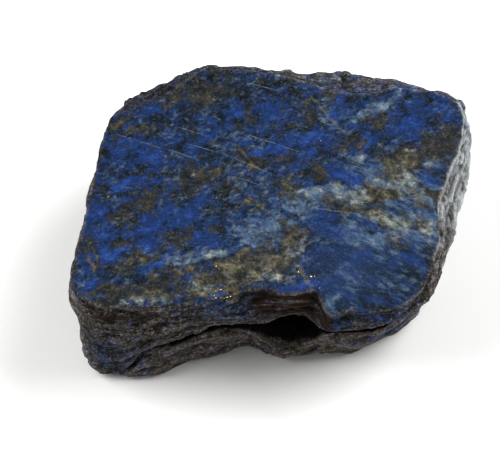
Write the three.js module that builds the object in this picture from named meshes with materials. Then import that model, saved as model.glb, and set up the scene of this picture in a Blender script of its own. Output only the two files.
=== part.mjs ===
// A rough piece of lapis lazuli with one sawn face, lying on its back with the sawn face up.
// Millimetres, +Z up. X runs along the stone's length, and -Y is the side with the open crack.
// The origin is under the middle of the stone, on the surface that it rests on.
import * as THREE from "three";

// Driving dimensions
const thickness = 14.5; // resting face to sawn face
const footHeight = 1.0; // the lower layer is widest this far above the resting face
const footInset = 0.9; // the resting face stays this far inside the foot
const seamGap = 0.35; // the closed seam between the two layers of rock
const crackDepth = 2.2; // an open crack goes at least this far in
const hollowShare = 0.6; // and deeper by this share of its opening
const hollowBluntness = 0.6; // 1 rounds the back of the crack, less makes it blunter
const stationStep = 0.9; // spacing of the upright stations along the sawn edge

// Roughness of the broken sides
const lump = { reach: 0.45, width: 3.6, height: 1.7 };
const ledge = { reach: 0.55, spacing: 1.9, dip: 0.12 }; // thin ledges that climb along the length
const ledgeWave = { width: 9, share: 0.5 }; // and wander by this share of their spacing
const edgeFade = { start: 0.3, end: 1.6 }; // the roughness sets in between these depths

// Every contour can be seen whole from this upright line.
const axis = { x: 6, y: 0 };

// The sawn edge in plan: the right end, the back, the left end, and the front with its notch.
const sawnEdge = [
  [16.2, -13.1], [17.6, -9.8], [18.4, -6.8], [18.3, -2.3], [20.0, 2.6], [20.9, 4.3], [21.5, 7.0],
  [21.8, 9.4], [21.2, 10.8], [20.0, 11.9], [18.1, 12.7], [13.1, 13.1], [11.9, 12.2], [9.8, 12.1],
  [7.0, 12.4], [3.4, 13.9], [-0.6, 15.2], [-7.0, 15.8], [-8.2, 15.5], [-11.3, 13.3], [-13.0, 11.5],
  [-17.2, 10.2], [-19.0, 9.4], [-19.8, 7.0], [-21.5, -2.6], [-23.0, -12.2], [-22.3, -13.5],
  [-21.0, -14.7], [-19.7, -15.3], [-11.4, -15.2], [-8.3, -14.8], [-5.5, -13.5], [-1.3, -13.0],
  [0.6, -13.7], [2.3, -13.7], [4.4, -13.2], [5.2, -14.6], [5.7, -16.0], [6.4, -16.5],
  [7.9, -15.8], [9.5, -16.1], [14.3, -15.3],
].map(([x, y]) => [x, y, thickness]);

// The shoulder, where the chips and bevels under the sawn edge end: x, y and height.
const shoulder = [
  [14.6, -15.4, 13.6], [16.8, -13.2, 13.0], [18.4, -9.8, 11.5], [19.4, -6.4, 10.5],
  [20.5, -1.8, 9.5], [21.1, 0.4, 9.5], [22.3, 3.9, 9.5], [22.7, 8.1, 10.0], [22.6, 10.9, 10.5],
  [22.3, 12.5, 11.3], [21.2, 13.6, 12.1], [16.5, 14.7, 12.3], [14.6, 15.5, 12.1], [8.4, 16.5, 11.9],
  [2.0, 16.4, 12.5], [-1.9, 16.6, 13.3], [-8.2, 16.9, 13.1], [-11.2, 16.1, 12.5],
  [-13.4, 14.9, 12.3], [-16.9, 12.3, 12.9], [-17.6, 10.6, 13.3], [-19.1, 9.8, 13.7],
  [-19.8, 7.0, 13.6], [-21.5, -2.6, 13.6], [-23.0, -12.3, 13.6], [-22.4, -13.8, 13.6],
  [-19.7, -15.6, 13.6], [-11.4, -15.5, 13.6], [-8.3, -15.3, 13.0], [-5.5, -14.8, 11.9],
  [-3.0, -14.3, 11.9], [-1.3, -13.8, 12.6], [0.6, -14.1, 13.4], [2.3, -14.1, 13.4],
  [4.1, -13.7, 13.4], [4.9, -14.9, 13.4], [5.4, -16.3, 13.2], [6.2, -17.0, 13.2],
  [7.9, -16.1, 13.0], [9.5, -16.3, 13.2],
];

// The seam between the upper and lower layers, where it is closed: round the right end, back and left.
const closedSeam = [
  [14.0, -14.5, 9.8], [16.6, -12.0, 9.6], [18.0, -8.5, 9.0], [19.2, -4.4, 8.4], [20.4, 0.0, 8.0],
  [21.6, 4.0, 7.8], [22.2, 8.5, 7.6], [21.8, 12.0, 7.4], [20.2, 14.3, 7.2], [14.5, 16.2, 7.0],
  [8.0, 17.2, 6.6], [0.0, 17.2, 6.2], [-7.0, 17.0, 5.6], [-12.0, 15.4, 5.0], [-16.4, 12.0, 4.4],
  [-18.2, 9.4, 4.0], [-18.9, 6.5, 3.6], [-20.7, -3.0, 2.8], [-22.0, -10.5, 2.2],
  [-21.6, -14.6, 1.9], [-20.3, -16.3, 1.8],
];

// The front, where the seam gapes: the lip of the upper layer, arched over the hollow.
const upperLip = [
  ...closedSeam,
  [-16.7, -16.9, 1.7], [-15.2, -16.3, 4.4], [-14.0, -16.0, 5.8], [-12.3, -15.8, 6.3],
  [-10.6, -15.4, 6.6], [-9.5, -14.8, 7.2], [-6.7, -14.1, 7.3], [-5.0, -13.9, 7.0],
  [-2.7, -13.9, 7.4], [-1.0, -14.1, 8.0], [0.5, -14.1, 9.0], [2.4, -13.9, 10.0],
  [3.5, -14.1, 9.8], [4.6, -15.1, 8.8], [5.4, -15.3, 8.5], [8.0, -15.5, 8.6],
  [9.7, -15.3, 9.0], [11.4, -15.0, 9.6],
];

// The lip of the lower layer, which drops to a shelf under the hollow.
const lowerLip = [
  ...closedSeam.map(([x, y, z]) => [x, y, z - seamGap]),
  [-16.7, -17.0, 1.2], [-15.3, -16.3, 3.3], [-14.1, -16.1, 4.6], [-12.4, -15.8, 5.1],
  [-10.6, -15.5, 5.4], [-9.5, -14.9, 5.8], [-6.7, -14.2, 5.9], [-3.3, -13.8, 5.7],
  [-2.7, -14.1, 5.2], [-2.0, -14.4, 4.2], [0.2, -14.9, 3.4], [1.9, -14.7, 3.6], [3.6, -14.6, 4.2],
  [4.8, -14.8, 5.8], [5.4, -15.3, 7.6], [8.0, -15.5, 7.8], [9.7, -15.3, 8.1], [11.4, -15.1, 8.5],
];

// The foot, the widest line of the lower layer.
const foot = [
  [13.3, -12.3], [15.5, -10.6], [17.6, -7.6], [19.2, -3.6], [20.4, 0.6], [21.2, 4.5], [21.8, 9.0],
  [21.3, 12.3], [19.5, 14.6], [14.0, 16.6], [8.0, 17.4], [0.0, 17.5], [-7.0, 17.1], [-12.5, 15.2],
  [-16.6, 11.6], [-18.2, 9.0], [-19.0, 6.0], [-20.9, -3.0], [-22.2, -10.5], [-22.2, -13.2],
  [-21.6, -15.4], [-20.3, -16.9], [-18.2, -17.3], [-14.4, -17.5], [-13.4, -17.3], [-12.5, -16.5],
  [-10.8, -15.9], [-10.0, -15.3], [-7.1, -14.9], [-4.7, -13.5], [-1.8, -13.4], [-1.2, -14.2],
  [1.0, -15.1], [2.7, -14.8], [5.0, -14.6], [6.2, -14.2], [8.5, -14.4], [10.0, -13.9], [10.9, -13.1],
].map(([x, y]) => [x, y, footHeight]);

// How many rows of faces each band of the side takes, and how far it swells or is scooped out.
const bands = {
  bevel: { from: sawnEdge, to: shoulder, rows: 3, swell: -0.25 },
  upperLayer: { from: shoulder, to: upperLip, rows: 7, swell: 0.25 },
  lowerLayer: { from: lowerLip, to: foot, rows: 5, swell: 0.3 },
};
const crackRows = 5;

const { lerp, smoothstep } = THREE.MathUtils;

// A fixed pseudo-random value from -1 to 1 for each corner of a grid.
function gridValue(i, j, k) {
  let mixed = Math.imul(i, 374761393) ^ Math.imul(j, 668265263) ^ Math.imul(k, 1274126177);
  mixed = Math.imul(mixed ^ (mixed >>> 13), 1103515245);
  return ((mixed ^ (mixed >>> 16)) >>> 0) / 2 ** 31 - 1;
}

// Smooth noise: the grid values blended across the cell that holds the point.
function noise(x, y, z) {
  const [i, j, k] = [x, y, z].map(Math.floor);
  const [u, v, w] = [x - i, y - j, z - k].map((t) => smoothstep(t, 0, 1));
  const edge = (dj, dk) => lerp(gridValue(i, j + dj, k + dk), gridValue(i + 1, j + dj, k + dk), u);
  return lerp(lerp(edge(0, 0), edge(1, 0), v), lerp(edge(0, 1), edge(1, 1), v), w);
}

// How far the broken surface stands out or in at a point: lumps, and ledges that jut at their tops.
function roughness(x, y, z) {
  const lumps = noise(x / lump.width, y / lump.width, z / lump.height);
  const wander = ledgeWave.share * noise(x / ledgeWave.width, y / ledgeWave.width, 0);
  const layer = (z - ledge.dip * x) / ledge.spacing + wander;
  const jut = layer - Math.floor(layer) - 0.5;
  const fade = smoothstep(thickness - z, edgeFade.start, edgeFade.end) * smoothstep(z, 0, footHeight);
  return fade * (lump.reach * lumps + ledge.reach * jut);
}

// Where a contour meets the upright half-plane at an angle round the axis.
function meet(contour, angle) {
  const [dx, dy] = [Math.cos(angle), Math.sin(angle)];
  let found = { reach: 0, height: 0 };
  contour.forEach(([x0, y0, z0], n) => {
    const [x1, y1, z1] = contour[(n + 1) % contour.length];
    const side0 = (y0 - axis.y) * dx - (x0 - axis.x) * dy;
    const side1 = (y1 - axis.y) * dx - (x1 - axis.x) * dy;
    if (side0 > 0 || side1 <= 0) return;
    const t = side0 / (side0 - side1);
    const reach = (lerp(x0, x1, t) - axis.x) * dx + (lerp(y0, y1, t) - axis.y) * dy;
    if (reach > found.reach) found = { reach, height: lerp(z0, z1, t) };
  });
  return found;
}

// The angles of the upright stations, evenly spaced along the sawn edge with one at each corner.
function stationAngles() {
  return sawnEdge.flatMap(([x0, y0], n) => {
    const [x1, y1] = sawnEdge[(n + 1) % sawnEdge.length];
    const steps = Math.max(1, Math.round(Math.hypot(x1 - x0, y1 - y0) / stationStep));
    return Array.from({ length: steps }, (_, s) =>
      Math.atan2(lerp(y0, y1, s / steps) - axis.y, lerp(x0, x1, s / steps) - axis.x),
    );
  });
}

// One band of a station's side, from just below its first contour down to its last.
function bandRows({ from, to, rows, swell }, angle) {
  const [top, bottom] = [meet(from, angle), meet(to, angle)];
  return Array.from({ length: rows }, (_, n) => {
    const t = (n + 1) / rows;
    return {
      reach: lerp(top.reach, bottom.reach, t) + swell * Math.sin(Math.PI * t),
      height: lerp(top.height, bottom.height, t),
    };
  });
}

// The inside of the crack: in under the upper lip, round the back, and out to the lower lip.
function crackInside(angle) {
  const [top, bottom] = [meet(upperLip, angle), meet(lowerLip, angle)];
  const gap = top.height - bottom.height;
  const depth = crackDepth * smoothstep(gap, seamGap, 2 * seamGap) + hollowShare * gap;
  return Array.from({ length: crackRows }, (_, n) => {
    const t = (n + 1) / (crackRows + 1);
    return {
      reach: lerp(top.reach, bottom.reach, t) - depth * Math.sin(Math.PI * t) ** hollowBluntness,
      height: lerp(top.height, bottom.height, t),
    };
  });
}

// A station's side from the sawn edge to the resting face, as points in space.
function stationPoints(angle) {
  const rim = meet(foot, angle);
  const rows = [
    meet(sawnEdge, angle),
    ...bandRows(bands.bevel, angle),
    ...bandRows(bands.upperLayer, angle),
    ...crackInside(angle),
    meet(lowerLip, angle),
    ...bandRows(bands.lowerLayer, angle),
    { reach: rim.reach - footInset, height: 0 },
  ];
  return rows.map(({ reach, height }) => {
    const [dx, dy] = [Math.cos(angle), Math.sin(angle)];
    const out = reach + roughness(axis.x + dx * reach, axis.y + dy * reach, height);
    return new THREE.Vector3(axis.x + dx * out, axis.y + dy * out, height);
  });
}

// The closed skin: the side's rows joined all the way round, with the two flat faces filled in.
function stoneGeometry() {
  const stations = stationAngles().map(stationPoints);
  const [around, down] = [stations.length, stations[0].length];
  const at = (s, row) => (s % around) * down + row;
  const faces = [];
  for (let s = 0; s < around; s++) {
    for (let row = 0; row + 1 < down; row++) {
      faces.push(at(s, row), at(s, row + 1), at(s + 1, row + 1));
      faces.push(at(s, row), at(s + 1, row + 1), at(s + 1, row));
    }
  }
  const fill = (row) =>
    THREE.ShapeUtils.triangulateShape(stations.map((points) => points[row]), []);
  fill(0).forEach(([a, b, c]) => faces.push(at(a, 0), at(b, 0), at(c, 0)));
  fill(down - 1).forEach(([a, b, c]) => faces.push(at(a, down - 1), at(c, down - 1), at(b, down - 1)));

  const geometry = new THREE.BufferGeometry().setFromPoints(stations.flat()).setIndex(faces);
  geometry.computeBoundingBox();
  const middle = geometry.boundingBox.getCenter(new THREE.Vector3());
  return geometry.translate(-middle.x, -middle.y, 0);
}

const lapis = new THREE.MeshStandardMaterial({ color: "#2b3c78", roughness: 0.55, metalness: 0 });
const stone = new THREE.Mesh(stoneGeometry(), lapis);
stone.name = "lapis_stone";

const part = new THREE.Group();
part.add(stone);
export default part;
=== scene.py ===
# A rough piece of lapis lazuli, lying on its back with the sawn face up
import math

import bpy
import numpy as np
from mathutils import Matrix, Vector, noise
from mathutils.bvhtree import BVHTree
from mathutils.kdtree import KDTree


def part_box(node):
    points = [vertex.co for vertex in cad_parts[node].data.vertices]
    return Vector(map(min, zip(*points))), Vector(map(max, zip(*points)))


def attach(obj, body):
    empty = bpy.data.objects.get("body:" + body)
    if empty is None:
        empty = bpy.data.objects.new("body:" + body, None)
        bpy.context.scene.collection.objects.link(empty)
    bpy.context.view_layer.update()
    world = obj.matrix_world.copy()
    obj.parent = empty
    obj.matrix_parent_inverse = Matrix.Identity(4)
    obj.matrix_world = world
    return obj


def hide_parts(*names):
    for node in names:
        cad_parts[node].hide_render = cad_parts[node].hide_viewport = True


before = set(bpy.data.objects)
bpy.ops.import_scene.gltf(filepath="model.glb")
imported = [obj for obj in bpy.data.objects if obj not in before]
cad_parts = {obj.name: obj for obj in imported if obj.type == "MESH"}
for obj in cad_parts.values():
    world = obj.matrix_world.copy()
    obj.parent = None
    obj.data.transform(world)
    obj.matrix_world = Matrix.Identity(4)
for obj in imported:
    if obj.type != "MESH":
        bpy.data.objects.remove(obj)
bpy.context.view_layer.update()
mm = 0.001  # the scene is in metres, the sizes below are in millimetres
thickness = round(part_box("lapis_stone")[1][2] / mm, 3)  # height of the sawn face
noise.seed_set(3)  # the same stone each run


def linearColour(hexText):  # sRGB hex to linear RGBA
    channels = [int(hexText[i:i + 2], 16) / 255 for i in (1, 3, 5)]
    return [c / 12.92 if c <= 0.04045 else ((c + 0.055) / 1.055) ** 2.4 for c in channels] + [1.0]


# Settings name a property, a socket or the stops of a ramp, and links name a socket.
# A Mix node's sockets go by number: 0 is the share, 2 and 3 are numbers, 4 and 5 vectors, 6 and 7 colours.
# Its outputs are 0 for a number, 1 for a vector and 2 for a colour.
def addNode(tree, kind, settings=None, links=None):
    node = tree.nodes.new(kind)
    for name, value in (settings or {}).items():
        if name == "stops":
            ramp = node.color_ramp.elements
            while len(ramp) < len(value):
                ramp.new(1.0)
            for stop, (place, hexText) in zip(ramp, value):
                stop.position, stop.color = place, linearColour(hexText)
        elif isinstance(name, str) and hasattr(node, name):
            setattr(node, name, value)
        else:
            node.inputs[name].default_value = value
    for name, source in (links or {}).items():
        tree.links.new(source, node.inputs[name])
    return node


def smoothRise(values, start, end):  # 0 before the start, 1 after the end
    t = np.clip((values - start) / (end - start), 0, 1)
    return t * t * (3 - 2 * t)


def noiseAt(points, size, octaves=1, shift=0.0):  # smooth noise from about -1 to 1, one value for each point
    scaled = np.asarray(points) / np.asarray(size) + shift
    if octaves == 1:
        return np.array([noise.noise(Vector(p)) for p in scaled])
    falloff, narrower = 1.0, 2.0  # each octave is half as wide and half as tall as the last
    return np.array([noise.fractal(Vector(p), falloff, narrower, octaves) for p in scaled])


def facetAt(points, size, scatter):  # height of small tilted planes, one for each cell of broken rock
    heights = []
    for p in np.asarray(points) / np.asarray(size):
        middle = noise.voronoi(Vector(p))[1][0]
        heights.append((Vector(p) - middle).dot(noise.noise_vector(middle * scatter)))
    return np.array(heights)


# Shape of the stone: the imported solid, remeshed fine, with its broken sides roughened.
# Reach is how far a form stands out or goes in, a shift keeps two patterns of noise from lining up,
# and a pair is where something starts and where it is full.

stoneShape = {
    "spacing": 0.24,  # of the fine mesh
    "cut": {"margin": 0.06, "level": 0.97},  # a cut face is this near its plane, and this level
    "melt": {"rounds": 4, "pull": 0.6, "crisp": 0.9},  # melts the solid's facets, less near the sawn edge
    "normalRounds": 3,  # relief goes out along smoothed normals
    "lump": {"width": 3.0, "reach": 0.26},
    "facet": {"width": 2.8, "height": 1.3, "reach": 0.45, "scatter": 7.3},  # flakes where the rock parted
    "ledge": {"width": 7.0, "spacing": 1.5, "reach": 0.20, "shift": 11.3},
    "lamina": {"width": 5.0, "spacing": 0.75, "reach": 0.13, "shift": 5.7},
    "pit": {"width": 1.3, "reach": 0.16, "rise": (0.2, 0.6), "shift": 23.1},
    "rim": {"least": 0.25, "fade": (0.1, 1.4), "guard": 0.5},  # relief fades towards the sawn edge
    "foot": (0.0, 0.7),  # and towards the flat face below
    "crack": {  # a groove along the open seam, only in front of the y given as front
        "halfWidth": 0.32, "depth": 1.0, "gape": (1.0, 5.5), "front": -10.0,
        "stray": 0.25, "strayWidth": 1.4, "shift": 60.0,
    },
    "chip": {  # bites out of the sawn edge
        "width": 1.8, "depth": 0.35, "margin": 0.9, "rise": (0.05, 0.7), "shift": 3.3,
    },
    "hollow": {"rays": 20, "reach": 6.0, "lift": 0.05, "blur": 2},  # painted shade in hollows and cracks: rays that look for shading rock
    "bulge": {"rounds": 6, "reach": 0.07},  # ridges and creases, for painted shade in creases and painted light on ridges: how wide they are looked for, and how tall
}

# The seam between the two layers of rock, round the stone from +X: degrees, upper lip, lower lip
seamAxis = (6.0, 0.0)
seam = [
    (0, 8.0, 7.7), (28, 7.6, 7.3), (62, 7.0, 6.7), (109, 6.2, 5.9), (140, 5.0, 4.7), (165, 3.6, 3.3),
    (201, 2.2, 1.9), (216, 1.7, 1.3), (219, 5.8, 5.1), (223, 6.6, 5.9), (228, 7.3, 6.5), (238, 7.4, 5.6),
    (249, 9.0, 3.6), (256, 10.0, 3.9), (261, 9.7, 4.4), (265, 8.8, 6.0), (268, 8.5, 7.8), (277, 8.6, 8.0),
    (290, 9.6, 9.0), (311, 9.6, 9.3), (342, 8.4, 8.1), (360, 8.0, 7.7),
]
openSeam = [  # the crack across the front, from its foot on the left to the hollow, then to the right: x, z
    [(-17.0, 1.0), (-15.9, 2.6), (-14.6, 4.6), (-13.2, 5.6), (-10.2, 6.0), (-8.0, 6.5), (-3.0, 6.6)],
    [(4.6, 7.6), (6.5, 8.1), (9.0, 8.3), (12.0, 9.2), (14.5, 9.7)],
]
layerThickness = {"upper": 7.0, "lower": 6.0}  # typical, so that the layers keep an even grain


def layerHeight(points):  # height within the bent layers: above 0 in the upper one, below in the lower
    turn = np.degrees(np.arctan2(points[:, 1] - seamAxis[1], points[:, 0] - seamAxis[0])) % 360
    degrees, upper, lower = np.array(seam).T
    upperLip, lowerLip = np.interp(turn, degrees, upper), np.interp(turn, degrees, lower)
    z = points[:, 2]
    above = layerThickness["upper"] * (z - upperLip) / (thickness - upperLip)
    below = layerThickness["lower"] * (z - lowerLip) / lowerLip
    return np.where(z > (upperLip + lowerLip) / 2, np.maximum(above, 0), np.minimum(below, 0))


def crackDistance(points):  # to the nearest stretch of the open seam, seen from the front
    nearest = np.full(len(points), np.inf)
    spot = points[:, [0, 2]]
    for line in openSeam:
        for start, end in zip(np.array(line), np.array(line[1:])):
            run = end - start
            t = np.clip((spot - start) @ run / (run @ run), 0, 1)
            nearest = np.minimum(nearest, np.linalg.norm(spot - start - t[:, None] * run, axis=1))
    return np.where(points[:, 1] < stoneShape["crack"]["front"], nearest, np.inf)


def readMesh(mesh):  # points in mm, normals and edges
    points = np.empty(len(mesh.vertices) * 3)
    mesh.vertices.foreach_get("co", points)
    normals = np.empty(len(mesh.vertices) * 3)
    mesh.vertices.foreach_get("normal", normals)
    edges = np.empty(len(mesh.edges) * 2, int)
    mesh.edges.foreach_get("vertices", edges)
    return points.reshape(-1, 3) / mm, normals.reshape(-1, 3), edges.reshape(-1, 2)


def neighbourMean(values, edges):  # mean over the points that share an edge
    total, count = np.zeros_like(values), np.bincount(edges.ravel(), minlength=len(values))
    for a, b in (edges.T, edges.T[::-1]):
        np.add.at(total, a, values[b])
    return total / count.reshape(-1, *[1] * (values.ndim - 1))


def fineStone():
    stone = bpy.data.objects.new("lapis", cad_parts["lapis_stone"].data.copy())
    bpy.context.scene.collection.objects.link(stone)
    remesh = stone.modifiers.new("fine", "REMESH")
    remesh.mode = "VOXEL"
    remesh.voxel_size = stoneShape["spacing"] * mm
    fine = bpy.data.meshes.new_from_object(stone.evaluated_get(bpy.context.evaluated_depsgraph_get()))
    stone.modifiers.clear()
    stone.data = fine
    triangles = sum(len(p.vertices) - 2 for p in fine.polygons)
    print("fine mesh:", len(fine.vertices), "points,", triangles, "triangles")
    return stone


def cutFaces(points, normals):  # which points lie on the sawn face, and which on the flat face below
    cut = stoneShape["cut"]
    top = (points[:, 2] > thickness - cut["margin"]) & (normals[:, 2] > cut["level"])
    bottom = (points[:, 2] < cut["margin"]) & (normals[:, 2] < -cut["level"])
    return top, bottom


def wallRelief(side, out):  # how far each point of the broken sides moves out along its normal
    lump, facet, ledge, lamina, pit = (stoneShape[k] for k in ("lump", "facet", "ledge", "lamina", "pit"))
    bent = np.column_stack([side[:, 0], side[:, 1], layerHeight(side)])
    step = noiseAt(bent, (ledge["width"], ledge["width"], ledge["spacing"]), shift=ledge["shift"])
    sheetSize = (lamina["width"], lamina["width"], lamina["spacing"])
    sheet = noiseAt(bent, sheetSize, octaves=2, shift=lamina["shift"])
    flake = facetAt(bent, (facet["width"], facet["width"], facet["height"]), facet["scatter"])
    hole = noiseAt(side, pit["width"], octaves=2, shift=pit["shift"])
    rise = lump["reach"] * noiseAt(side, lump["width"], octaves=3)
    rise += facet["reach"] * flake
    rise += ledge["reach"] * np.sign(step) * np.sqrt(np.abs(step))
    rise += lamina["reach"] * sheet
    rise -= pit["reach"] * smoothRise(hole, *pit["rise"])

    rim, crack = stoneShape["rim"], stoneShape["crack"]
    depth = thickness - side[:, 2]
    fade = rim["least"] + (1 - rim["least"]) * smoothRise(depth, *rim["fade"])
    fade *= smoothRise(side[:, 2], *stoneShape["foot"])
    level = np.where(depth < rim["guard"], 1.0 - out[:, 2] ** 2, 1.0)  # keeps the rim from lifting
    rise = rise * fade * level
    stray = crack["stray"] * noiseAt(side, crack["strayWidth"], octaves=2, shift=crack["shift"])
    away = crackDistance(side + stray[:, None])
    gape = smoothRise(side[:, 2], *crack["gape"])
    return rise - crack["depth"] * gape * np.exp(-(away / crack["halfWidth"]) ** 2)


def chipEdge(points, wall):  # small bites out of the sawn edge
    chip = stoneShape["chip"]
    rim = KDTree(len(wall))
    for i, p in enumerate(points[wall]):
        rim.insert(p, i)
    rim.balance()
    high = np.flatnonzero(points[:, 2] > thickness - chip["margin"])
    away = np.array([rim.find(points[i])[2] for i in high])
    bite = noiseAt(points[high], chip["width"], octaves=3, shift=chip["shift"])
    bite = smoothRise(bite, *chip["rise"])
    points[high, 2] -= chip["depth"] * bite * (1 - smoothRise(away, 0.0, chip["margin"]))


def roughen(stone):
    mesh = stone.data
    points, normals, edges = readMesh(mesh)
    top, bottom = cutFaces(points, normals)
    free = ~(top | bottom)
    melt = stoneShape["melt"]
    ease = melt["pull"] * smoothRise(thickness - points[free, 2], 0.0, melt["crisp"])[:, None]
    for _ in range(melt["rounds"]):
        points[free] += ease * (neighbourMean(points, edges) - points)[free]
    for _ in range(stoneShape["normalRounds"]):
        normals = neighbourMean(normals, edges)
    normals /= np.linalg.norm(normals, axis=1)[:, None]

    wall = np.flatnonzero(free)
    points[wall] += normals[wall] * wallRelief(points[wall], normals[wall])[:, None]
    chipEdge(points, wall)
    points[:, 2] = np.clip(points[:, 2], 0, thickness)
    mesh.vertices.foreach_set("co", (points * mm).ravel())
    mesh.polygons.foreach_set("use_smooth", np.ones(len(mesh.polygons), bool))
    mesh.update()
    print("roughened", len(wall), "points of the broken sides")
    return top, bottom


def hollowShadeShare(mesh, points, normals, wall):  # share of the sky that nearby rock hides from each point, for the painted shade in hollows and cracks
    tree = BVHTree.FromPolygons([v.co for v in mesh.vertices], [p.vertices for p in mesh.polygons])
    hollow = stoneShape["hollow"]
    order = np.arange(hollow["rays"]) + 0.5
    swing = math.pi * (1 + 5 ** 0.5) * order  # the golden angle spreads the rays evenly
    tall = np.sqrt(1 - order / hollow["rays"])
    wide = np.sqrt(1 - tall ** 2)
    rays = [Vector(r) for r in np.column_stack([wide * np.cos(swing), wide * np.sin(swing), tall])]
    hidden = np.zeros(len(points))
    for i in wall:
        normal = Vector(normals[i])
        turn = Vector((0, 0, 1)).rotation_difference(normal)
        start = Vector(points[i] * mm) + normal * hollow["lift"] * mm
        hits = [tree.ray_cast(start, turn @ ray, hollow["reach"] * mm)[0] for ray in rays]
        hidden[i] = sum(hit is not None for hit in hits) / hollow["rays"]
    return hidden


# Where each mineral shows on the sawn face: x, y, half length, half width and turn in degrees

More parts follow.
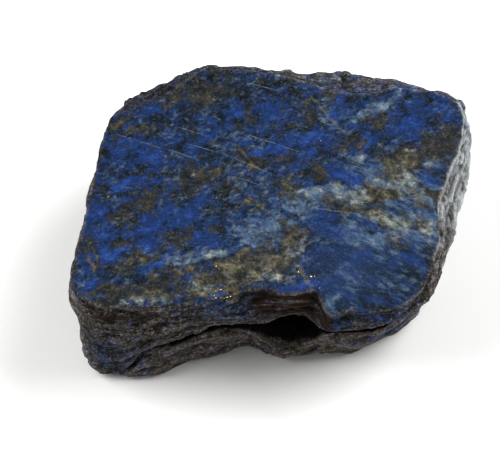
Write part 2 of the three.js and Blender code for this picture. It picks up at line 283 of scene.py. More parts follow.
layerTurn = (20.0, -26.0)  # degrees that the layers climb towards +X, and on the lower right
patchDepth = 2.2  # a patch goes this far down into the stone
patchWander = {"width": 2.6, "reach": 1.3, "shifts": (0.0, 41.0, 87.0)}  # how the edge of a patch strays
patches = {
    "lazurite": [
        (-13.9, 10.0, 2.7, 0.9, 17), (-1.0, 9.8, 2.5, 1.5, 28), (-5.5, 8.5, 2.5, 1.1, 22),
        (9.4, 10.3, 3.0, 1.0, 22), (7.7, 8.7, 1.7, 1.2, 44), (17.0, 9.2, 3.2, 1.6, 22),
        (4.9, 5.7, 2.9, 1.4, 17), (11.0, 5.9, 1.4, 1.0, 44), (8.1, 1.0, 2.1, 1.0, -9),
        (18.1, 1.1, 1.1, 1.0, 22), (-16.3, 0.3, 1.6, 1.0, 11), (-11.6, -4.2, 2.8, 1.1, 14),
        (-16.1, -5.9, 2.3, 0.8, 11), (-4.0, -7.8, 1.8, 0.8, 17), (-8.0, -7.0, 1.2, 0.8, 11),
        (-20.9, -12.4, 2.3, 1.4, 79), (-13.5, -11.0, 1.6, 0.6, 17), (2.1, -13.3, 2.2, 0.6, 3),
        (5.7, -4.7, 2.8, 1.1, 6), (14.8, -3.0, 1.4, 0.9, -22), (16.1, -4.7, 1.2, 0.7, -33),
        (-15.1, 4.4, 3.4, 1.3, 11), (-20.1, -3.9, 2.0, 1.1, 77), (-8.3, 5.7, 2.3, 1.0, 17),
        (-0.5, 4.4, 2.0, 1.0, 17), (-18.4, -8.9, 1.6, 1.0, 22), (-10.0, -5.1, 2.7, 1.0, 17),
        (-13.9, -7.0, 2.3, 0.8, 17), (8.0, -6.0, 2.7, 0.9, -11),
    ],
    "haze": [
        (-0.9, -5.8, 3.9, 1.4, 25), (1.8, -2.3, 2.1, 1.5, 38), (4.3, -0.7, 2.2, 1.1, 0),
        (-7.1, -8.7, 1.8, 0.8, 11), (11.5, 10.0, 3.3, 0.7, 36), (6.4, 8.4, 1.3, 0.6, -49),
        (9.5, 3.1, 1.3, 0.9, 72), (18.3, 3.1, 1.6, 0.9, 22), (13.5, 0.3, 4.1, 1.6, -22),
        (17.1, -3.9, 3.3, 1.5, -72), (13.0, -4.0, 4.1, 1.4, -28), (9.9, -6.8, 3.0, 0.8, -22),
        (15.7, -7.3, 1.6, 0.8, -22), (-10.8, -10.1, 2.1, 0.6, 22), (6.3, -1.9, 2.5, 1.0, -9),
        (-7.6, -9.2, 2.1, 0.6, 25), (6.5, -15.2, 0.9, 0.9, 0), (8.0, -0.7, 2.5, 0.8, -11),
        (14.2, -5.8, 2.5, 0.7, -28), (-3.8, -0.7, 1.6, 1.0, 22), (-2.5, -7.0, 2.1, 1.0, 22),
    ],
    "matrix": [
        (-17.3, 8.5, 1.4, 0.8, 22), (-6.7, 12.3, 2.5, 1.4, 11), (-9.4, 12.6, 2.5, 1.1, 20),
        (-11.7, 11.5, 2.6, 0.9, 38), (-16.4, 6.2, 1.6, 0.6, 22), (-8.3, 0.9, 3.9, 1.1, 20),
        (-13.9, -1.6, 2.7, 1.1, 22), (-17.3, -3.5, 1.6, 0.9, 17), (-11.0, -7.0, 2.0, 0.8, 11),
        (-6.5, -5.0, 1.1, 0.5, 22), (-2.3, -2.7, 1.5, 0.5, 11), (1.3, 0.1, 1.7, 0.9, -53),
        (7.3, 11.2, 1.3, 0.6, 0), (12.5, 8.7, 1.4, 1.0, 38), (19.0, 5.4, 2.8, 1.7, 38),
        (15.2, 2.8, 2.8, 1.4, 33), (9.4, 5.2, 0.9, 1.2, 77), (5.3, 1.9, 1.6, 0.7, -28),
        (11.9, -1.2, 2.1, 1.0, -31), (8.0, -2.5, 2.5, 0.8, -22), (11.0, -3.7, 3.0, 0.9, -31),
        (2.1, -6.8, 2.3, 1.1, 28), (-3.8, -10.6, 3.9, 1.4, 16), (0.7, -9.8, 2.1, 1.0, 28),
        (-13.9, -13.0, 3.4, 1.0, 9), (-18.4, -14.7, 2.2, 0.8, 6), (-1.4, 2.8, 1.2, 0.7, -44),
        (-3.8, 4.4, 1.2, 0.6, -58), (4.0, 9.2, 1.5, 0.8, -63), (-20.9, -7.4, 1.5, 1.0, 63),
        (-20.2, -9.8, 1.8, 0.6, -72), (-17.3, -8.1, 1.1, 0.6, 22), (-14.8, -9.8, 2.0, 0.8, 17),
        (-17.8, -12.5, 1.8, 0.8, 11), (17.5, -1.4, 1.2, 0.6, -44), (-3.3, 8.5, 0.9, 0.6, 11),
        (2.9, 7.2, 1.2, 0.6, -44),
    ],
    "ochre": [
        (-2.1, 2.1, 0.9, 0.5, -44), (1.6, -0.7, 1.2, 0.7, -49), (12.6, -1.1, 2.8, 1.2, -33),
        (9.9, -2.8, 3.5, 0.9, -29), (12.6, -4.7, 3.0, 1.0, -33), (13.3, 1.9, 2.1, 0.8, -22),
        (7.4, -1.9, 2.1, 0.6, -22), (15.8, -1.9, 1.9, 0.6, -38), (15.3, 2.6, 1.8, 0.9, 28),
        (9.4, 4.9, 0.8, 1.0, 77), (-4.3, -11.1, 3.9, 1.4, 16), (1.6, -7.0, 2.1, 1.1, 28),
        (0.1, -9.8, 2.3, 1.1, 22), (-8.0, -13.3, 2.7, 0.8, 9), (-13.9, -14.0, 3.2, 0.8, 7),
        (-17.3, 8.5, 1.0, 0.6, 22), (12.5, 8.7, 0.9, 0.7, 38), (-4.4, -13.4, 1.6, 0.6, 6),
        (-2.3, -2.8, 1.4, 0.5, 11), (-19.6, -13.4, 1.6, 0.6, 0), (-20.3, -9.3, 1.5, 0.3, -72),
        (-14.8, -10.0, 1.1, 0.4, 17), (-9.9, -11.2, 2.0, 0.6, 14), (-2.7, -9.8, 3.4, 1.5, 22),
        (-6.6, -11.9, 2.7, 1.0, 14), (2.9, -10.7, 1.1, 0.7, -63), (16.3, -5.5, 2.2, 1.0, -63),
        (13.3, -7.2, 2.3, 0.6, -28),
    ],
    "calcite": [
        (6.4, 8.4, 1.0, 0.5, -49), (15.4, 0.5, 2.1, 1.1, -22), (11.5, -4.2, 1.9, 0.5, -33),
        (13.3, -5.0, 2.3, 0.7, -33), (-0.0, -11.6, 2.0, 1.1, 9), (-8.3, -12.8, 1.3, 0.5, 6),
        (-16.9, -14.7, 0.8, 0.5, 0), (-14.9, -14.8, 1.0, 0.5, 0), (-12.9, -14.8, 0.8, 0.5, 0),
        (-7.0, -8.6, 1.0, 0.5, 11), (2.6, -8.3, 1.4, 1.0, 33), (9.7, 3.4, 0.9, 0.7, 72),
        (4.3, -0.7, 1.3, 0.5, 0), (16.0, 3.9, 0.8, 0.3, 11), (18.2, 3.1, 1.1, 0.5, 22),
        (8.8, -1.1, 2.7, 0.4, -18), (14.2, -2.5, 1.2, 0.4, -31), (13.3, 0.1, 1.4, 0.6, -22),
        (16.6, -5.5, 1.7, 1.0, -63),
    ],
}
evenBlue = (9.2, -10.6, 6.0, 3.4, 0)  # a wide even stretch with little else in it
wallFront = -8.0  # the spots below are on the sides in front of this y
wallSpots = {  # seen from the front: x, z, half width, half height
    "worn": [(-4.8, 13.0, 3.4, 2.4), (6.9, 12.4, 1.5, 2.4), (10.8, 13.4, 3.6, 1.0)],  # blue over the edge
    "rust": [(3.0, 12.4, 2.8, 3.2), (-0.3, 12.8, 2.2, 2.2), (5.4, 12.8, 1.3, 2.2), (-18.2, 12.6, 3.2, 1.0)],
    "dark": [(0.8, 6.8, 4.2, 2.7)],  # painted shade inside the hollow
    "bluish": [(-18.5, 4.5, 3.8, 4.0), (14.0, 6.0, 4.0, 3.0)],  # more specks of blue
}
pyriteClusters = [(-4.9, -13.4, 1.3, 0.5, 8), (3.2, -11.2, 1.0, 0.4, -65), (-6.4, -11.2, 0.5, 0.3, 0)]
fieldRules = {  # a pair is where a change starts and where it is full
    "overBlue": 0.3,  # taken from the other minerals where lazurite is thick
    "overEven": 0.5,  # and from all but the haze in the even stretch
    "evenBlue": 0.3,  # added to the lazurite there
    "backBlue": {"lean": 0.5, "rise": (6, 14), "loss": 0.35},  # darker blue towards the back left
    "backRock": {"left": (2, 8), "back": (4, 9), "loss": 0.6},  # darker on the back left side
    "slant": {"right": (3, 9), "front": (-6, 0)},  # the lower right, where the layers lie the other way
    "inHollow": (-14.7, -13.5),  # y, so that the lips of the hollow aren't given the painted shade
    "bluishBack": {"rise": (3, 8), "most": 0.8},  # blue shows on the back side too
    "dust": {"facing": (0.3, 0.8), "facingStray": 0.25, "back": (-10, 2), "backStray": 6},  # paler on the sides facing +X, towards the back
}


def patchField(points, spots):
    field = np.zeros(len(points))
    for x, y, length, width, degrees in spots:
        turn = math.radians(degrees)
        dx, dy, dz = points[:, 0] - x, points[:, 1] - y, points[:, 2] - thickness
        along = (dx * math.cos(turn) + dy * math.sin(turn)) / length
        across = (dy * math.cos(turn) - dx * math.sin(turn)) / width
        field = np.maximum(field, 1 / (1 + (along ** 2 + across ** 2 + (dz / patchDepth) ** 2) ** 2))
    return field


def wallField(points, spots):
    field = np.zeros(len(points))
    for x, z, wide, tall in spots:
        beside, above = (points[:, 0] - x) / wide, (points[:, 2] - z) / tall
        field = np.maximum(field, np.exp(-beside ** 2 - above ** 2))
    return np.where(points[:, 1] < wallFront, field, 0)


def storeFields(stone, top, bottom):  # what the material reads at each point
    mesh, rules = stone.data, fieldRules
    points, normals, edges = readMesh(mesh)
    x, y = points[:, 0], points[:, 1]
    wander = np.column_stack([
        noiseAt(points, patchWander["width"], octaves=4, shift=shift) for shift in patchWander["shifts"]
    ])
    strayed = points + patchWander["reach"] * wander

    # Minerals
    fields = {name: patchField(strayed, spots) for name, spots in patches.items()}
    even = patchField(strayed, [evenBlue])
    for name in ("haze", "matrix", "ochre", "calcite"):
        fields[name] -= rules["overBlue"] * fields["lazurite"]
        if name != "haze":
            fields[name] -= rules["overEven"] * even
    backBlue = rules["backBlue"]
    fields["lazurite"] += rules["evenBlue"] * even
    fields["lazurite"] -= backBlue["loss"] * smoothRise(y - backBlue["lean"] * x, *backBlue["rise"])
    fields["even"] = even
    fields["pyrite"] = patchField(strayed, pyriteClusters)
    fields["slant"] = smoothRise(x, *rules["slant"]["right"]) * smoothRise(-y, *rules["slant"]["front"])

    # Ridges and creases, for painted shade in creases and painted light on ridges
    bulge, backRock = stoneShape["bulge"], rules["backRock"]
    around = points
    for _ in range(bulge["rounds"]):
        around = neighbourMean(around, edges)
    fields["bulge"] = np.clip(((points - around) * normals).sum(1) / bulge["reach"], -1, 1)
    backLeft = smoothRise(-x, *backRock["left"]) * smoothRise(y, *backRock["back"])
    fields["bulge"] -= backRock["loss"] * backLeft

    # Broken sides
    fields.update({name: wallField(strayed, spots) for name, spots in wallSpots.items()})
    fields["dark"] *= smoothRise(y, *rules["inHollow"])
    bluish = rules["bluishBack"]
    fields["bluish"] = np.maximum(fields["bluish"], bluish["most"] * smoothRise(y, *bluish["rise"]))
    fields["sawn"] = neighbourMean(np.where(top | bottom, 1.0, 0.0), edges)
    # painted shade: the share of the sky that nearby rock hides, then blurred
    fields["hollow"] = hollowShadeShare(mesh, points, normals, np.flatnonzero(~(top | bottom)))
    for _ in range(stoneShape["hollow"]["blur"]):
        fields["hollow"] = neighbourMean(fields["hollow"], edges)
    fields["layer"] = layerHeight(points)
    dust = rules["dust"]
    fields["dust"] = smoothRise(normals[:, 0] + dust["facingStray"] * wander[:, 0], *dust["facing"])
    fields["dust"] *= smoothRise(y + dust["backStray"] * wander[:, 1], *dust["back"])
    for name, values in fields.items():
        mesh.attributes.new(name, "FLOAT", "POINT").data.foreach_set("value", values.astype(np.float32))
    print("stored", ", ".join(fields))
    return list(fields)


# Lapis lazuli: blue lazurite with grey-white calcite, olive-brown diopside and mica, and specks of pyrite.
# Sawn, it is a satin blue mottle with pale saw scratches. Broken, it is a dull, dark, layered rock.

lapisLook = {
    "ior": 1.5,
    "specular": 0.06,  # sawn but not polished, so it shines less than its IOR alone would give
    "roughness": {"sawn": (0.48, 0.66), "broken": 0.82, "pyrite": 0.28},  # sawn: from crystal to crystal
    "crystal": 0.28,  # mm across
    "clot": 0.55,  # mm, small clots of crystals
    "clump": 1.1,  # mm, clots of clots
    "stretch": (1.4, 2.2),  # clots are this much longer along the layers, and on the lower right
    "apart": 7.0,  # keeps the noise of two minerals from lining up
    "speckle": 0.25,  # share of crystals, beside clumps, in the tone of a mineral
    "flecks": [(0.55, 0.8, 0.2, "#6f7c8c"), (0.46, 0.2, 0.35, "#07090c")],  # pale and dark: from, to, most
    "even": ("#21314e", 0.38),  # a calm blue, and its share in the even stretch
    "sheet": (4.0, 4.0, 0.4),  # mm, long, wide and thick: the layers seen on the broken sides
    "rockMix": {"clump": 0.45, "grain": 0.35},  # laid over the layers
    "rock": [(0.36, "#080706"), (0.46, "#221f1c"), (0.54, "#47423d"), (0.65, "#8a8178")],
    "micaGlint": (0.57, 0.8, 0.42, "#b3aba0"),  # pale mica grains on the broken sides, their glints painted in: from, to, most
    "lower": {"colour": "#3a342f", "most": 0.5, "blend": 0.5},  # added to the lower layer, which makes it lighter
    "blueRock": {"bluish": 0.17, "worn": 0.9, "from": 0.51, "to": 0.7, "most": 0.75, "paler": 1.4},
    "rust": (0.8, 0.42, 1.5, "#1a1009"),  # a film over the layers: from, to, most
    "dust": (0.36, 0.6, 0.1, "#94989a"),  # a paler tone on the sides facing +X, weakest where the mottle is dark: from, to, least
    "creaseShadeRidgeLight": (0.4, 1.55),  # painted shade in creases and painted light on ridges: how bright they are
    "hollow": (0.22, 0.55, 0.97, "#0a0706"),  # painted shade where nearby rock hides the light: from, to, most
    "scratch": "#6c7d99",
    "vein": "#696759",
    "gold": "#615636",
    "pyrite": "#cdb064",
    "speck": {  # most real specks are finer, and these are as coarse as they need to be to show
        "spacing": 0.18,  # mm between places where one may sit
        "from": 0.994, "to": 1.01, "most": 0.34,  # only the few highest chances give one
        "cluster": 0.2,  # what a cluster adds to the chance
        "tilt": 0.7,  # how far a crystal may lean
    },
    "bump": {"grain": (0.35, 0.03), "rock": (1.0, 0.2)},  # strength, and mm
}
# Each mineral over the last. cloud: mm across its wide clots. base: its share anywhere. patch, wide, small
# and grain: how much the patches above, the clots and the crystals add. A mineral over the lazurite shows
# from one share to another, at most as given. stops: its tones.
minerals = {
    "lazurite": {"cloud": 1.5, "base": 0.44, "patch": 0.3, "wide": 2.4, "small": 1.3, "grain": 0.25,
                 "stops": [(0.0, "#04090d"), (0.22, "#08121b"), (0.42, "#0e1e37"), (0.62, "#122852"),
                           (0.82, "#142b5b"), (1.0, "#1e3a76")]},
    "haze": {"cloud": 2.0, "base": 0.06, "patch": 0.7, "wide": 1.8, "small": 2.8, "grain": 0.0,
             "from": 0.0, "to": 1.0, "most": 0.95,
             "stops": [(0.35, "#2c4160"), (0.5, "#435870"), (0.65, "#6b7d8b")]},
    "matrix": {"cloud": 1.6, "base": 0.08, "patch": 0.78, "wide": 2.2, "small": 2.2, "grain": 0.2,
               "from": 0.02, "to": 0.75, "most": 0.95,
               "stops": [(0.36, "#0e1013"), (0.46, "#1c1e1d"), (0.54, "#2a2923"), (0.64, "#3f3a2e")]},
    "ochre": {"cloud": 1.4, "base": -0.2, "patch": 0.92, "wide": 1.6, "small": 2.6, "grain": 0.0,
              "from": 0.0, "to": 0.9, "most": 0.92,
              "stops": [(0.37, "#1a1a14"), (0.46, "#302f26"), (0.54, "#494537"), (0.64, "#6b6450")]},
    "calcite": {"cloud": 1.3, "base": -0.22, "patch": 0.9, "wide": 1.6, "small": 3.0, "grain": 0.0,
                "from": 0.0, "to": 1.1, "most": 0.95,
                "stops": [(0.36, "#454e50"), (0.5, "#686f6a"), (0.64, "#9da297")]},
}

# Saw scratches, veins and streaks of gold on the sawn face: x, y, length and turn in degrees
scratches = [
    (-14.1, 5.3, 3.8, -20), (-10.3, 4.0, 5.7, -22), (-9.2, 7.0, 4.6, -20), (-7.9, 4.8, 5.8, -17),
    (-2.4, 2.5, 6.9, -26), (-1.4, 6.0, 7.2, -20), (2.0, 4.7, 3.3, -21), (-2.8, 0.5, 3.1, -22),
    (4.4, -0.9, 4.4, -14), (6.1, -3.2, 7.2, -9), (10.7, -7.3, 3.7, -14), (16.1, -1.1, 2.3, -23),
    (-16.9, 6.3, 3.4, -17), (9.6, 2.3, 3.3, -18), (-12.2, -10.0, 2.3, -15), (-16.7, -0.3, 2.1, -14),
    (-1.1, 13.0, 5.0, -16),
]
veins = [
    (-3.5, 4.3, 2.6, -58), (5.2, 10.6, 3.6, -54), (6.8, 8.4, 3.0, -53), (8.1, 7.0, 1.8, -38),
]
golds = [
    (-5.0, -13.3, 2.4, 8), (-4.2, -13.6, 1.6, 30), (3.2, -11.2, 1.8, -62), (3.8, -12.4, 1.6, -66),
    (-2.4, 2.6, 1.6, -52), (-20.5, -9.8, 2.4, -57),
]
lineLook = {  # mm wide, mm that it strays, mm between its gaps
    "vein": {"lines": veins, "width": 0.55, "stray": 1.2, "gap": 0.45, "strength": 0.6},
    "gold": {"lines": golds, "width": 0.7, "stray": 1.8, "gap": 0.2, "strength": 0.85},
    # real scratches are finer, and these are as wide as they need to be to show
    "scratch": {"lines": scratches, "width": 0.15, "stray": 0.3, "gap": 0.45, "strength": 0.6},
}
lineShape = {
    "bend": 1.25,  # mm between the bends
    "core": 0.4,  # share of the width at full strength
    "gaps": (0.36, 0.62),  # of the noise: a gap below, a whole line above
    "deep": 1000,  # mm, so that depth makes no difference
}


def mineralColour(tree, inMm, fields, grain, clump):  # the mottle of the sawn face
    look = lapisLook
    layered = [addNode(tree, "ShaderNodeMapping", {
        "vector_type": "TEXTURE", "Rotation": (0, 0, math.radians(turn)), "Scale": (stretch, 1, 1),
    }, {"Vector": inMm}).outputs[0] for turn, stretch in zip(layerTurn, look["stretch"])]
    speckle = addNode(tree, "ShaderNodeMix", {0: look["speckle"]}, {2: clump, 3: grain}).outputs[0]

    # Lazurite, from nearly black blue to bright blue, and the other minerals, each over the last
    colour = None
    for number, (name, mineral) in enumerate(minerals.items()):
        middle = 0.5 * (mineral["wide"] + mineral["small"] + mineral["grain"])  # noise averages 0.5
        share = addNode(tree, "ShaderNodeMath", {
            "operation": "MULTIPLY_ADD", 1: mineral["patch"], 2: mineral["base"] - middle,
        }, {0: fields[name]}).outputs[0]
        share = addNode(tree, "ShaderNodeMath", {"operation": "MULTIPLY_ADD", 1: mineral["grain"]},
                        {0: grain, 2: share}).outputs[0]
        for weight, size, detail in (("wide", mineral["cloud"], 5), ("small", look["clot"], 3)):
            clots = [addNode(tree, "ShaderNodeTexNoise", {
                "noise_dimensions": "4D", "W": look["apart"] * number + size, "Scale": 1 / size,
                "Detail": detail, "Roughness": 0.6, "Distortion": 0.5,
            }, {"Vector": vector}).outputs["Fac"] for vector in layered]
            mixed = addNode(tree, "ShaderNodeMix", links={
                0: fields["slant"], 2: clots[0], 3: clots[1],
            }).outputs[0]
            share = addNode(tree, "ShaderNodeMath", {"operation": "MULTIPLY_ADD", 1: mineral[weight]},
                            {0: mixed, 2: share}).outputs[0]
        tint = addNode(tree, "ShaderNodeValToRGB", {"stops": mineral["stops"]},
                       {"Fac": share if colour is None else speckle}).outputs["Color"]
        if colour is None:
            colour = tint
            continue
        mask = addNode(tree, "ShaderNodeMapRange", {
            "interpolation_type": "SMOOTHSTEP", "From Min": mineral["from"], "From Max": mineral["to"],
            "To Max": mineral["most"],
        }, {"Value": share}).outputs[0]
        colour = addNode(tree, "ShaderNodeMix", {"data_type": "RGBA"},
                         {0: mask, 6: colour, 7: tint}).outputs[2]

    hexText, most = look["even"]
    calm = addNode(tree, "ShaderNodeMath", {"operation": "MULTIPLY", 1: most},
                   {0: fields["even"]}).outputs[0]
    colour = addNode(tree, "ShaderNodeMix", {"data_type": "RGBA", 7: linearColour(hexText)},
                     {0: calm, 6: colour}).outputs[2]

    # Single pale and dark crystals
    for start, end, most, hexText in look["flecks"]:
        fleck = addNode(tree, "ShaderNodeMapRange", {"From Min": start, "From Max": end, "To Max": most},
                        {"Value": grain}).outputs[0]
        colour = addNode(tree, "ShaderNodeMix", {"data_type": "RGBA", 7: linearColour(hexText)},
                         {0: fleck, 6: colour}).outputs[2]
    return colour


def markLines(tree, inMm, colour):  # veins, gold and scratches: thin ellipses, bent a little and broken up
    shape = lineShape
    sway = addNode(tree, "ShaderNodeTexNoise", {"Scale": 1 / shape["bend"], "Detail": 4, "Roughness": 0.6},
                   {"Vector": inMm}).outputs["Color"]
    for name, kind in lineLook.items():
        stray = kind["stray"]
        swayed = addNode(tree, "ShaderNodeVectorMath", {"operation": "MULTIPLY_ADD", 1: (stray, stray, 0)},
                         {0: sway, 2: inMm}).outputs[0]
        nearest = None
        for x, y, length, turn in kind["lines"]:
            local = addNode(tree, "ShaderNodeMapping", {
                "vector_type": "TEXTURE", "Location": (x + stray / 2, y + stray / 2, 0),
                "Rotation": (0, 0, math.radians(turn)),
                "Scale": (length / 2, kind["width"] / 2, shape["deep"]),
            }, {"Vector": swayed}).outputs[0]
            reach = addNode(tree, "ShaderNodeVectorMath", {"operation": "LENGTH"},
                            {0: local}).outputs["Value"]
            nearest = reach if nearest is None else addNode(
                tree, "ShaderNodeMath", {"operation": "MINIMUM"}, {0: nearest, 1: reach}).outputs[0]
        line = addNode(tree, "ShaderNodeMapRange", {
            "From Min": shape["core"], "From Max": 1.0, "To Min": kind["strength"], "To Max": 0.0,
        }, {"Value": nearest}).outputs[0]
        gaps = addNode(tree, "ShaderNodeTexNoise", {
            "Scale": 1 / kind["gap"], "Detail": 4, "Roughness": 0.75,
        }, {"Vector": inMm}).outputs["Fac"]
        broken = addNode(tree, "ShaderNodeMapRange", {
            "From Min": shape["gaps"][0], "From Max": shape["gaps"][1],
        }, {"Value": gaps}).outputs[0]
        line = addNode(tree, "ShaderNodeMath", {"operation": "MULTIPLY"}, {0: line, 1: broken}).outputs[0]
        colour = addNode(tree, "ShaderNodeMix", {"data_type": "RGBA", 7: linearColour(lapisLook[name])},
                         {0: line, 6: colour}).outputs[2]
    return colour


def brokenRock(tree, inMm, fields, grain, clump, sawnColour):  # thin layers seen on edge, bent with the seam
    look = lapisLook
    axes = addNode(tree, "ShaderNodeSeparateXYZ", links={0: inMm}).outputs
    bent = addNode(tree, "ShaderNodeCombineXYZ", links={
        0: axes[0], 1: axes[1], 2: fields["layer"],
    }).outputs[0]
    sheets = addNode(tree, "ShaderNodeMapping", {"vector_type": "TEXTURE", "Scale": look["sheet"]},
                     {"Vector": bent}).outputs[0]
    laminae = addNode(tree, "ShaderNodeTexNoise", {"Scale": 1.0, "Detail": 5, "Roughness": 0.65},
                      {"Vector": sheets}).outputs["Fac"]
    mottle = laminae
    for name, pattern in (("clump", clump), ("grain", grain)):
        mottle = addNode(tree, "ShaderNodeMix", {0: look["rockMix"][name]},
                         {2: mottle, 3: pattern}).outputs[0]
    rock = addNode(tree, "ShaderNodeValToRGB", {"stops": look["rock"]}, {"Fac": mottle}).outputs["Color"]

    # Pale mica grains, with their glints painted in as pale colour
    start, end, most, hexText = look["micaGlint"]
    micaGlint = addNode(tree, "ShaderNodeMapRange", {"From Min": start, "From Max": end, "To Max": most},
                   {"Value": grain}).outputs[0]
    rock = addNode(tree, "ShaderNodeMix", {"data_type": "RGBA", 7: linearColour(hexText)},
                   {0: micaGlint, 6: rock}).outputs[2]

    lower = look["lower"]
    under = addNode(tree, "ShaderNodeMapRange", {
        "From Min": lower["blend"], "From Max": -lower["blend"], "To Max": lower["most"],
    }, {"Value": fields["layer"]}).outputs[0]
    rock = addNode(tree, "ShaderNodeMix", {
        "data_type": "RGBA", "blend_type": "ADD", 7: linearColour(lower["colour"]),
    }, {0: under, 6: rock}).outputs[2]

    # The sawn face's minerals come through in spots, and all over where the rock is worn
    blue = look["blueRock"]
    spots = addNode(tree, "ShaderNodeMath", {"operation": "MULTIPLY_ADD", 1: blue["bluish"]},
                    {0: fields["bluish"], 2: clump}).outputs[0]
    spots = addNode(tree, "ShaderNodeMapRange", {
        "From Min": blue["from"], "From Max": blue["to"], "To Max": blue["most"],
    }, {"Value": spots}).outputs[0]
    spots = addNode(tree, "ShaderNodeMath", {
        "operation": "MULTIPLY_ADD", 1: blue["worn"], "use_clamp": True,
    }, {0: fields["worn"], 2: spots}).outputs[0]
    paler = addNode(tree, "ShaderNodeHueSaturation", {"Value": blue["paler"]},
                    {"Color": sawnColour}).outputs[0]
    rock = addNode(tree, "ShaderNodeMix", {"data_type": "RGBA"}, {0: spots, 6: rock, 7: paler}).outputs[2]

    start, end, most, hexText = look["rust"]
    film = addNode(tree, "ShaderNodeMapRange", {"From Min": start, "From Max": end, "To Max": most},
                   {"Value": laminae}).outputs[0]
    rusty = addNode(tree, "ShaderNodeMath", {"operation": "MULTIPLY", "use_clamp": True},
                    {0: fields["rust"], 1: film}).outputs[0]
    rock = addNode(tree, "ShaderNodeMix", {"data_type": "RGBA", 7: linearColour(hexText)},
                   {0: rusty, 6: rock}).outputs[2]

    # A paler tone on the sides that face +X, towards the back
    start, end, least, hexText = look["dust"]
    paleSideMottle = addNode(tree, "ShaderNodeMapRange", {"From Min": start, "From Max": end, "To Min": least},
                     {"Value": mottle}).outputs[0]
    paleSideShare = addNode(tree, "ShaderNodeMath", {"operation": "MULTIPLY"},
                    {0: fields["dust"], 1: paleSideMottle}).outputs[0]
    rock = addNode(tree, "ShaderNodeMix", {"data_type": "RGBA", 7: linearColour(hexText)},
                   {0: paleSideShare, 6: rock}).outputs[2]

    # Painted shade in the creases and painted light on the ridges
    crease, ridge = look["creaseShadeRidgeLight"]
    creaseShadeRidgeLight = addNode(tree, "ShaderNodeMapRange", {"From Min": -1.0, "To Min": crease, "To Max": ridge},
                     {"Value": fields["bulge"]}).outputs[0]
    rock = addNode(tree, "ShaderNodeHueSaturation", links={"Value": creaseShadeRidgeLight, "Color": rock}).outputs[0]
    return rock, mottle


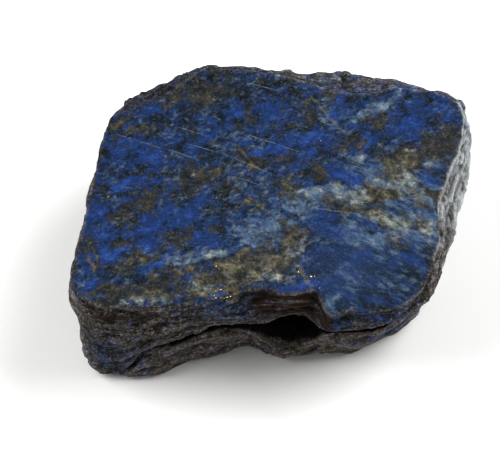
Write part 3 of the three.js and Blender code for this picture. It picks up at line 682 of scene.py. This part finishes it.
def lapisMaterial(fieldNames):
    look = lapisLook
    material = bpy.data.materials.new("lapis lazuli, sawn and broken")
    material.use_nodes = True
    tree = material.node_tree
    tree.nodes.clear()
    place = addNode(tree, "ShaderNodeTexCoord").outputs["Object"]
    inMm = addNode(tree, "ShaderNodeVectorMath", {"operation": "SCALE", "Scale": 1 / mm},
                   {0: place}).outputs[0]
    fields = {}
    for name in fieldNames:
        fields[name] = addNode(tree, "ShaderNodeAttribute", {"attribute_name": name}).outputs["Fac"]
    grain = addNode(tree, "ShaderNodeTexNoise", {
        "Scale": 1 / look["crystal"], "Detail": 3, "Roughness": 0.65,
    }, {"Vector": inMm}).outputs["Fac"]
    clump = addNode(tree, "ShaderNodeTexNoise", {
        "Scale": 1 / look["clump"], "Detail": 5, "Roughness": 0.65, "Distortion": 0.5,
    }, {"Vector": inMm}).outputs["Fac"]
    sawnColour = markLines(tree, inMm, mineralColour(tree, inMm, fields, grain, clump))
    rock, mottle = brokenRock(tree, inMm, fields, grain, clump, sawnColour)
    colour = addNode(tree, "ShaderNodeMix", {"data_type": "RGBA"},
                     {0: fields["sawn"], 6: rock, 7: sawnColour}).outputs[2]

    # Painted shade in the hollow and in the cracks, where nearby rock hides the light
    start, end, most, hexText = look["hollow"]
    deep = addNode(tree, "ShaderNodeMath", {"operation": "ADD"},
                   {0: fields["hollow"], 1: fields["dark"]}).outputs[0]
    shade = addNode(tree, "ShaderNodeMapRange", {"From Min": start, "From Max": end, "To Max": most},
                    {"Value": deep}).outputs[0]
    colour = addNode(tree, "ShaderNodeMix", {"data_type": "RGBA", 7: linearColour(hexText)},
                     {0: shade, 6: colour}).outputs[2]

    # Pyrite: a few bright specks, thick in the clusters
    speck = look["speck"]
    cells = addNode(tree, "ShaderNodeTexVoronoi", {"Scale": 1 / speck["spacing"]}, {"Vector": inMm}).outputs
    chance = addNode(tree, "ShaderNodeSeparateXYZ", links={0: cells["Color"]}).outputs[0]
    chance = addNode(tree, "ShaderNodeMath", {"operation": "MULTIPLY_ADD", 1: speck["cluster"]},
                     {0: fields["pyrite"], 2: chance}).outputs[0]
    size = addNode(tree, "ShaderNodeMapRange", {
        "From Min": speck["from"], "From Max": speck["to"], "To Max": speck["most"],
    }, {"Value": chance}).outputs[0]
    pyrite = addNode(tree, "ShaderNodeMath", {"operation": "LESS_THAN"},
                     {0: cells["Distance"], 1: size}).outputs[0]
    colour = addNode(tree, "ShaderNodeMix", {"data_type": "RGBA", 7: linearColour(look["pyrite"])},
                     {0: pyrite, 6: colour}).outputs[2]

    # Satin where sawn, dull where broken, bright on the pyrite
    rough = look["roughness"]
    least, most = rough["sawn"]
    gloss = addNode(tree, "ShaderNodeMapRange", {  # most of the noise lies between 0.3 and 0.7
        "From Min": 0.3, "From Max": 0.7, "To Min": least, "To Max": most,
    }, {"Value": grain}).outputs[0]
    gloss = addNode(tree, "ShaderNodeMix", {2: rough["broken"]}, {0: fields["sawn"], 3: gloss}).outputs[0]
    gloss = addNode(tree, "ShaderNodeMix", {3: rough["pyrite"]}, {0: pyrite, 2: gloss}).outputs[0]

    # Relief too fine for the mesh: grain all over, layers on the broken sides
    strength, height = look["bump"]["grain"]
    grainBump = addNode(tree, "ShaderNodeBump", {"Strength": strength, "Distance": height * mm},
                        {"Height": grain}).outputs[0]
    strength, height = look["bump"]["rock"]
    rockBump = addNode(tree, "ShaderNodeBump", {"Strength": strength, "Distance": height * mm},
                       {"Height": mottle, "Normal": grainBump}).outputs[0]
    normal = addNode(tree, "ShaderNodeMix", {"data_type": "VECTOR"},
                     {0: fields["sawn"], 4: rockBump, 5: grainBump}).outputs[1]
    tilt = speck["tilt"]
    facing = addNode(tree, "ShaderNodeVectorMath", {
        "operation": "MULTIPLY_ADD", 1: (2 * tilt, 2 * tilt, 0), 2: (-tilt, -tilt, 1),
    }, {0: cells["Color"]}).outputs[0]  # each speck faces its own way
    normal = addNode(tree, "ShaderNodeMix", {"data_type": "VECTOR"},
                     {0: pyrite, 4: normal, 5: facing}).outputs[1]
    normal = addNode(tree, "ShaderNodeVectorMath", {"operation": "NORMALIZE"}, {0: normal}).outputs[0]
    surface = addNode(tree, "ShaderNodeBsdfPrincipled", {
        "IOR": look["ior"], "Specular IOR Level": look["specular"],
    }, {"Base Color": colour, "Metallic": pyrite, "Roughness": gloss, "Normal": normal})
    addNode(tree, "ShaderNodeOutputMaterial", links={"Surface": surface.outputs[0]})
    print("material:", material.name, "with", len(tree.nodes), "nodes")
    return material


# Stage: a plain pale floor, soft light from above and behind, and the camera

stage = {
    "floorSize": 3.0,  # m
    "floorColour": "#f4f4f3",
    "floorRoughness": 0.9,
    "sky": ("#ffffff", 0.28),  # colour and strength
    "panels": [  # place and size in m, power in W; none shines off the sawn face into the camera
        {"name": "right", "place": (0.45, 0.22, 0.42), "size": 0.5, "power": 6.0},
        {"name": "left", "place": (-0.5, 0.12, 0.45), "size": 0.5, "power": 5.0},
    ],
}
view = {
    "lens": 200.0, "sensor": 36.0, "elevation": 62.0,
    "distance": 312.1,  # mm
    "aim": (-2.7, -6.4, thickness),  # mm, the point at the middle of the picture
    "clip": (0.01, 10.0),  # m
}


def dressStage():
    bpy.ops.mesh.primitive_plane_add(size=stage["floorSize"])
    floor = bpy.context.object
    floor.name = "floor"
    paint = bpy.data.materials.new("matt white board")  # painted board: an even white, hardly any shine
    paint.use_nodes = True
    board = paint.node_tree.nodes["Principled BSDF"]
    board.inputs["Base Color"].default_value = linearColour(stage["floorColour"])
    board.inputs["Roughness"].default_value = stage["floorRoughness"]
    floor.data.materials.append(paint)

    world = bpy.data.worlds.new("soft room")
    world.use_nodes = True
    skyColour, skyStrength = stage["sky"]
    world.node_tree.nodes["Background"].inputs["Color"].default_value = linearColour(skyColour)
    world.node_tree.nodes["Background"].inputs["Strength"].default_value = skyStrength
    bpy.context.scene.world = world
    for panel in stage["panels"]:
        lamp = bpy.data.lights.new(panel["name"], "AREA")
        lamp.size, lamp.energy = panel["size"], panel["power"]
        holder = bpy.data.objects.new(panel["name"], lamp)
        holder.location = panel["place"]
        holder.rotation_euler = (-Vector(panel["place"])).to_track_quat("-Z", "Y").to_euler()
        bpy.context.scene.collection.objects.link(holder)

    camera = bpy.data.cameras.new("camera")
    camera.lens, camera.sensor_width = view["lens"], view["sensor"]
    camera.clip_start, camera.clip_end = view["clip"]
    tilt = math.radians(view["elevation"])
    back = Vector((0, -math.cos(tilt), math.sin(tilt)))  # from the stone to the camera
    holder = bpy.data.objects.new("camera", camera)
    holder.location = (Vector(view["aim"]) + view["distance"] * back) * mm
    holder.rotation_euler = (math.pi / 2 - tilt, 0, 0)
    bpy.context.scene.collection.objects.link(holder)
    bpy.context.scene.camera = holder
    bpy.context.scene.view_settings.view_transform = "Standard"
    print("stage: floor,", len(stage["panels"]), "panels, camera")


dressStage()
lapis = fineStone()
topFace, restFace = roughen(lapis)
fieldNames = storeFields(lapis, topFace, restFace)
lapis.data.materials.clear()
lapis.data.materials.append(lapisMaterial(fieldNames))
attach(lapis, "root")
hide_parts("lapis_stone")
